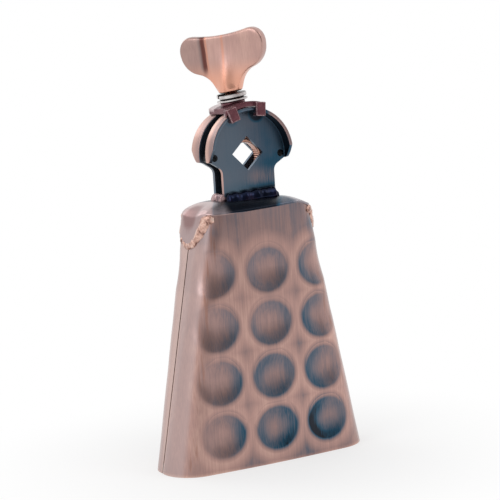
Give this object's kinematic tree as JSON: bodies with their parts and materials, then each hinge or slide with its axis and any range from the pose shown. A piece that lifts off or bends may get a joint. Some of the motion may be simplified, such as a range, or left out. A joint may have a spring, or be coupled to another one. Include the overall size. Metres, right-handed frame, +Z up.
{
  "type": "cowbell",
  "caption": "Hammered cowbell of antique copper-plated sheet, with a flanged bracket and a self-aligning wing-nut rod clamp on its crown",
  "frame": {"origin": "middle of the bell's mouth, in the plane of its rim", "axes": "+Z up from the mouth to the wing, the front face of the bell looks along -Y, +X to the right seen from the front"},
  "size_m": [0.131, 0.0486, 0.2544],
  "materials": {
    "hammered_copper": "antique copper plate on steel sheet, brushed through on the high places, dark in the dimples, clear coated",
    "dark_copper": "blue-black patina on copper plate, copper at the worn edges, clear coated",
    "braze_copper": "lumpy braze, copper plated, dark in its crevices",
    "weld_dark": "weld bead and filler under dark patina, glossy",
    "saddle_copper": "cast saddle under dull dark-red copper patina",
    "bolt_copper": "copper-plated eye bolt",
    "wing_copper": "cast wing, copper plated, brushed, clear coated",
    "zinc_silver": "bright plated washers",
    "rivet_black": "blackened rivet"
  },
  "bodies": {
    "bell": {"front_shell": "hammered_copper", "rear_shell": "hammered_copper", "crown_cap": "hammered_copper", "left_seam_braze": "weld_dark", "right_seam_braze": "weld_dark", "left_crown_bead": "braze_copper", "right_crown_bead": "braze_copper", "bracket_front_plate": "dark_copper", "bracket_rear_plate": "dark_copper", "front_foot_weld": "weld_dark", "rear_foot_weld": "weld_dark", "left_foot_weld": "weld_dark", "right_foot_weld": "weld_dark", "left_spacer_rivet": "rivet_black", "right_spacer_rivet": "rivet_black"},
    "clamp": {"clamp_saddle": "saddle_copper", "flat_washer": "zinc_silver", "lock_washer": "zinc_silver"},
    "wing": {"wing_nut": "wing_copper"},
    "eye": {"eye_bolt": "bolt_copper"}
  },
  "joints": [
    {"name": "clamp_swing", "type": "hinge", "parent": "bell", "child": "clamp", "pos_m": [0, 0, 0.1817], "axis": [0, 1, 0], "range_deg": [-57, 73]},
    {"name": "wing_turn", "type": "hinge", "parent": "clamp", "child": "wing", "pos_m": [0, 0, 0.1817], "axis": [0.1392, 0, -0.9903], "range_deg": [-720, 1800]},
    {"name": "eye_draw", "type": "slide", "parent": "clamp", "child": "eye", "axis": [-0.1392, 0, 0.9903], "range_m": [-0.0025, 0.00625]}
  ],
  "couplings": [
    {"joint": "eye_draw", "follows": "wing_turn", "m_per_rad": 0.00019894}
  ]
}
